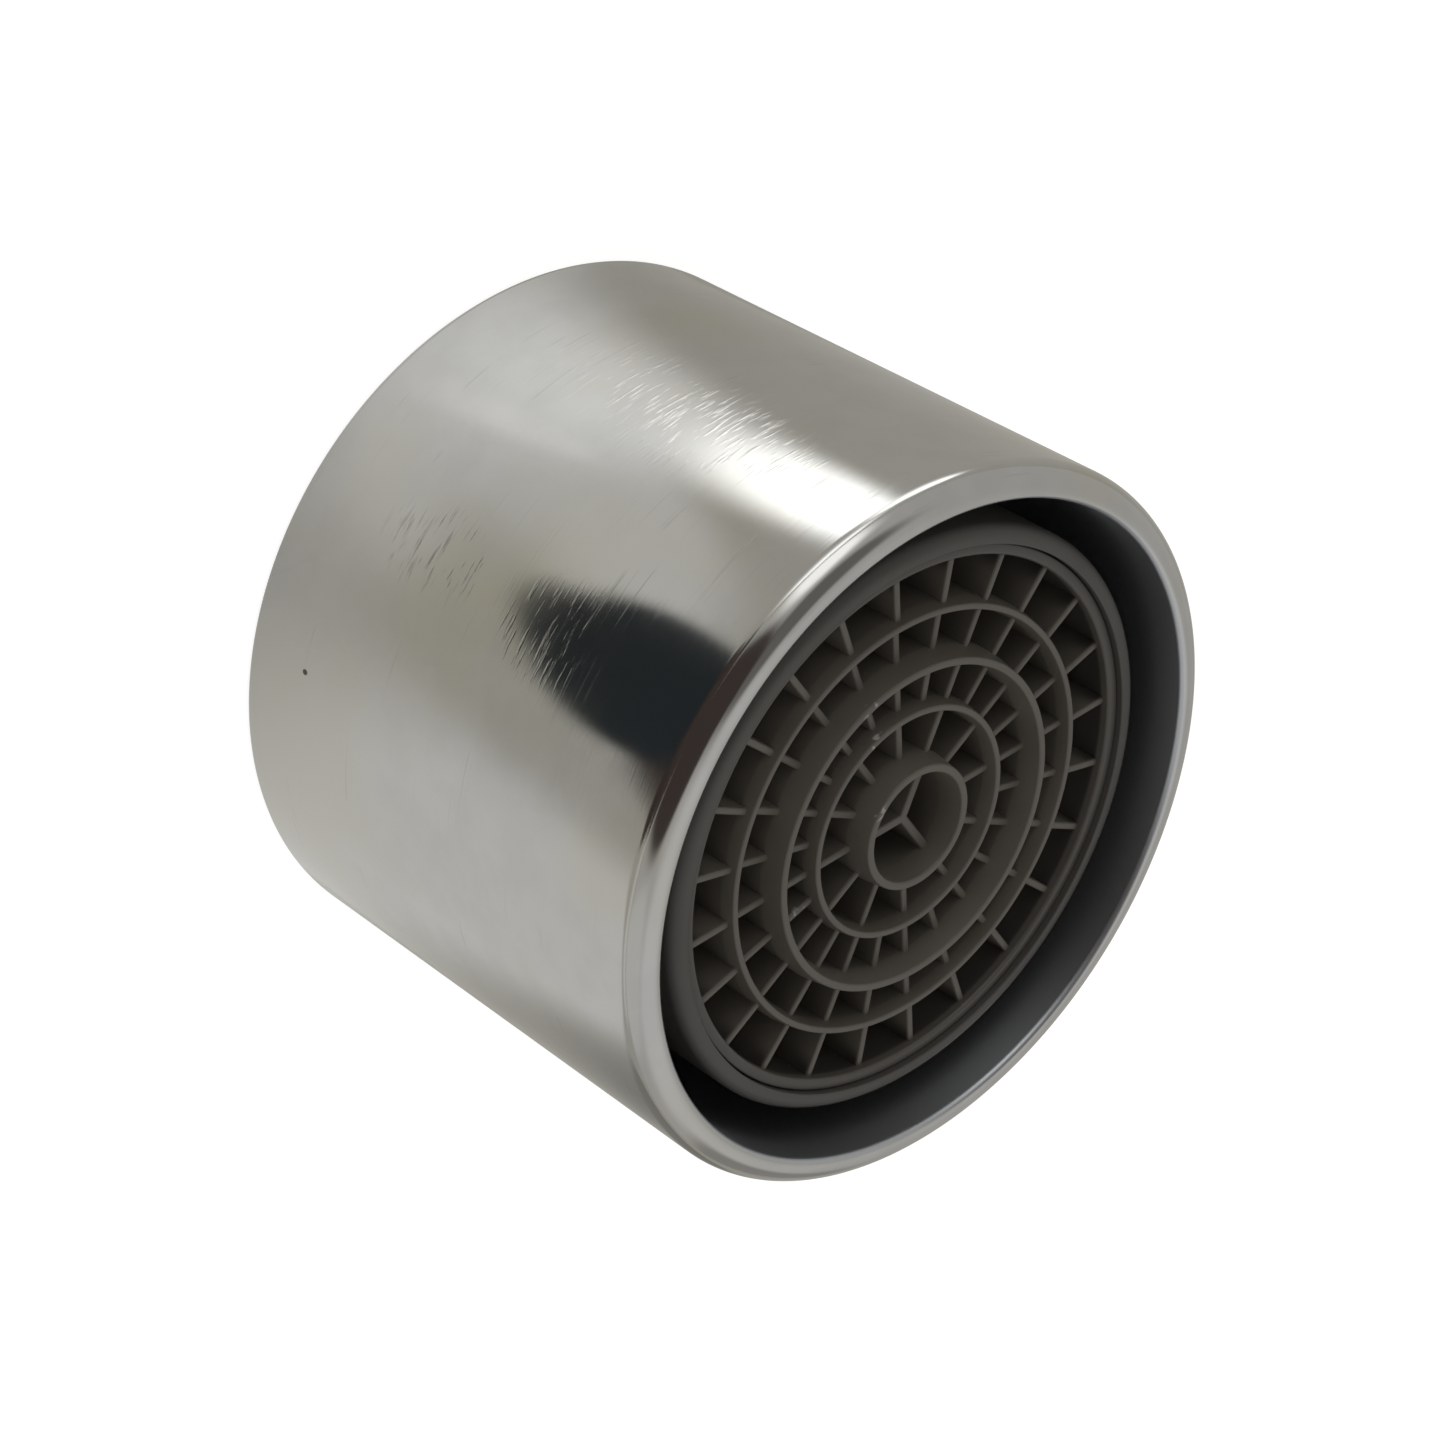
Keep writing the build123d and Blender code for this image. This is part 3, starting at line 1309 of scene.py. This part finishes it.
@dataclass
class Studio:
    """Pale floor, white surround, soft light and the camera."""

    floor_side: float = 1.6
    floor_cuts: int = 3
    floor_opening: float = 11.6
    floor_colour: Colour = (0.36, 0.36, 0.355)
    floor_glow: float = 0.86
    mirror_colour: Colour = (0.235, 0.225, 0.19)
    surround: Colour = (0.5, 0.49, 0.47)
    patches: tuple[Patch, ...] = (
        Patch((0.32, 0.56, 0.77), (0.9, 0.9, 0.9), (0.68, 0.675, 0.665), 0.8),
        Patch((0.34, 0.94, 0.1), (0.36, 0.5, 0.5), (0.32, 0.31, 0.3), 0.5),
        Patch((0.95, 0.0, 0.25), (0.62, 0.55, 0.95), (0.63, 0.625, 0.605), 0.4),
        Patch((-0.3, -0.24, 0.93), (0.6, 0.6, 0.6), (0.17, 0.165, 0.157), 0.5),
        Patch((-0.56, -0.8, 0.2), (0.44, 0.44, 0.75), (1.55, 1.55, 1.53), 0.8),
        Patch((0.28, -0.7, 0.45), (0.64, 0.66, 1.4), (0.06, 0.046, 0.042), 0.2),
    )
    cards: tuple[Card, ...] = (
        Card("pale_far_card", (210.0, -50.0), (165.0, 120.0), 0.0, (0.66, 0.655, 0.64), 1.0, 0.3),
        Card("pale_card", (38.0, -5.0), (46.0, 22.0), 0.0, (0.71, 0.705, 0.685), 1.0, 0.5),
        Card("near_card", (-2.0, -22.0), (14.5, 18.0), 0.0, (0.67, 0.665, 0.64), 1.0, 0.5),
        Card("right_card", (70.0, 64.0), (86.0, 33.0), 43.0, (0.25, 0.245, 0.225), 1.0, 0.2),
        Card("warm_card", (10.0, -20.0), (16.0, 8.0), 0.0, (0.46, 0.445, 0.385), 0.9, 0.8),
        Card("glow_card", (-12.0, -16.3), (19.5, 9.0), 25.0, (1.05, 1.05, 1.04), 0.85, 1.0),
        Card("streak_card", (-4.5, -16.0), (7.0, 1.6), 49.0, (1.1, 1.09, 1.07), 0.4, 1.0),
        Card("bright_card", (-24.2, -23.3), (17.0, 9.0), 22.0, (2.2, 2.2, 2.18), 1.0, 0.7),
        Card("bright_far_card", (-62.0, -31.0), (42.0, 22.0), 12.0, (2.0, 2.0, 1.98), 1.0, 0.5),
        Card("key_card", (-84.0, -124.0), (116.0, 58.0), 56.0, (1.8, 1.8, 1.78), 1.0, 0.6),
        Card("dark_side_card", (24.0, -60.0), (30.0, 35.5), 0.0, (0.05, 0.036, 0.032), 1.0, 0.03),
        Card("dark_far_card", (173.0, -474.0), (140.0, 470.0), 20.0, (0.06, 0.046, 0.042), 1.0, 0.015),
        Card("dark_tip_card", (6.6, -24.2), (5.4, 4.6), -15.0, (0.03, 0.034, 0.036), 0.9, 0.5),
        Card("dark_card", (9.0, -33.2), (11.2, 13.4), 0.0, (0.024, 0.029, 0.032), 1.0, 0.12),
    )
    card_gap: float = 0.05
    lamp_place: Place = (50.0, -200.0, 260.0)
    lamp_aim: Place = (0.0, 0.0, 9.5)
    lamp_side: float = 0.7
    lamp_power: float = 0.6
    camera_place: Place = (19.29, -87.52, 82.0)
    camera_right: Place = (-0.61836, 0.41826, 0.66535)
    camera_up: Place = (-0.76847, -0.49905, -0.40048)
    camera_back: Place = (0.16454, -0.75895, 0.63001)
    lens: float = 90.55
    sensor: float = 36.0
    nearest: float = 0.001
    farthest: float = 10.0

    def floor(self) -> None:
        """Lay the floor: white to the camera but for the shadow, clear from below and under the inlet."""
        deselect()
        bpy.ops.mesh.primitive_plane_add(size=self.floor_side)
        floor = bpy.context.object
        floor.name = floor.data.name = "floor"
        with editing(floor):
            bpy.ops.mesh.subdivide(number_cuts=self.floor_cuts)
        material, nodes, principled = new_material("pale_floor")
        nodes.tree.nodes.remove(principled)
        ray = nodes.add("LightPath").outputs
        seen = nodes.math("MULTIPLY", ray["Is Camera Ray"], self.floor_glow)
        glow = nodes.add("Emission", {"Color": (1, 1, 1, 1), "Strength": seen})
        mirrored = nodes.add("Emission", {"Color": (*self.mirror_colour, 1)})
        nodes.link(ray["Is Glossy Ray"], mirrored.inputs["Strength"])
        matt = nodes.add("BsdfDiffuse", {"Color": (*self.floor_colour, 1)})
        lit = nodes.add("AddShader", {0: glow.outputs[0], 1: matt.outputs[0]})
        lit = nodes.add("AddShader", {0: lit.outputs[0], 1: mirrored.outputs[0]})
        clear = nodes.add("BsdfTransparent")
        below = nodes.add("NewGeometry").outputs["Backfacing"]
        opening = nodes.math("LESS_THAN", nodes.radius(), self.floor_opening)
        seen_through = nodes.math("MAXIMUM", below, opening)
        mixed = nodes.add("MixShader", {0: seen_through, 1: lit.outputs[0], 2: clear.outputs[0]})
        nodes.link(mixed.outputs[0], nodes.tree.nodes["Material Output"].inputs["Surface"])
        floor.data.materials.append(material)

    def world(self) -> None:
        """Fill the surround with soft light in patches, and make it white to the camera."""
        world = bpy.data.worlds.new("surround")
        world.use_nodes = True
        bpy.context.scene.world = world
        nodes = Nodes(world.node_tree)
        towards = nodes.add("TexCoord").outputs["Generated"]
        light: Any = self.surround
        for patch in self.patches:
            spot = nodes.spot(patch.towards, patch.reach, place=towards, unit=1.0)
            light = nodes.mix(nodes.ramp(spot, high=patch.softness), light, patch.colour)
        seen = nodes.add("LightPath").outputs["Is Camera Ray"]
        background = world.node_tree.nodes["Background"]
        nodes.link(nodes.mix(seen, light, (1, 1, 1)), background.inputs["Color"])

    def lamp(self) -> None:
        """Hang a large soft lamp that looks at the aerator and that nothing mirrors."""
        place = Vector(self.lamp_place)
        aim = Vector(self.lamp_aim) - place
        deselect()
        bpy.ops.object.light_add(type="AREA", location=place * MILLIMETRE)
        lamp = bpy.context.object
        lamp.name = "key_lamp"
        lamp.data.shape = "SQUARE"
        lamp.data.size = self.lamp_side
        lamp.data.energy = self.lamp_power
        lamp.visible_glossy = False
        lamp.visible_camera = False
        lamp.rotation_euler = aim.to_track_quat("-Z", "Y").to_euler()

    def camera(self) -> None:
        """Set the camera where the photograph was taken from."""
        deselect()
        bpy.ops.object.camera_add()
        camera = bpy.context.object
        axes = Matrix((self.camera_right, self.camera_up, self.camera_back)).transposed()
        camera.matrix_world = Matrix.Translation(Vector(self.camera_place) * MILLIMETRE) @ axes.to_4x4()
        camera.data.lens = self.lens
        camera.data.sensor_width = self.sensor
        camera.data.clip_start = self.nearest
        camera.data.clip_end = self.farthest
        bpy.context.scene.camera = camera

    def build(self) -> None:
        """Set up the whole studio."""
        bpy.context.scene.view_settings.view_transform = "Standard"
        self.floor()
        self.world()
        self.lamp()
        for number, card in enumerate(self.cards, 1):
            card.lay(number * self.card_gap)
        self.camera()


FLECKS = (
    Scuff((-1.12, -5.39, 18.0), (0.5, 0.22, 0.25), (0.42, 0.41, 0.38), 0.8),
    Scuff((-0.79, -3.75, 17.7), (0.42, 0.22, 0.25), (0.42, 0.41, 0.38), 0.8),
    Scuff((4.4, -1.2, 17.45), (0.4, 0.3, 0.3), (0.33, 0.34, 0.31), 0.75),
    Scuff((0.59, -1.9, 18.1), (0.5, 0.2, 0.2), (0.34, 0.33, 0.3), 0.75),
)
GREY_PLASTIC = MouldedPlastic(
    name="grey_plastic",
    colour=(0.094, 0.085, 0.071),
    cloud=(0.109, 0.098, 0.082),
    roughness=0.42,
    flecks=FLECKS,
    # painted shade round the outlet rim, beside the shell's lip
    painted_rim_shade=(0.058, 0.054, 0.048),
)
PALE_PLASTIC = MouldedPlastic("pale_plastic", (0.62, 0.61, 0.58), (0.57, 0.56, 0.52), roughness=0.42)
BLACK_RUBBER = MouldedPlastic("black_rubber", (0.026,) * 3, (0.036, 0.035, 0.034), roughness=0.72)


def main() -> None:
    """Build every piece, dress it, and set up the studio."""
    logging.basicConfig(level=logging.INFO, format="%(message)s")
    grain = mould_grain()
    grey = GREY_PLASTIC.material(grain)
    pale = PALE_PLASTIC.material(grain)
    rubber = BLACK_RUBBER.material(grain)
    metal = PlatedMetal().material(turning_marks())
    Shell().build(metal)
    SealingWasher().build(rubber)
    InletStrainer().build(pale)
    InsertHousing().build(grey)
    OutletGrille().build(grey)
    dress_hidden(["jet_plate", "upper_mixing_grid", "lower_mixing_grid"], pale)
    Studio().build()


if __name__ == "__main__":
    main()
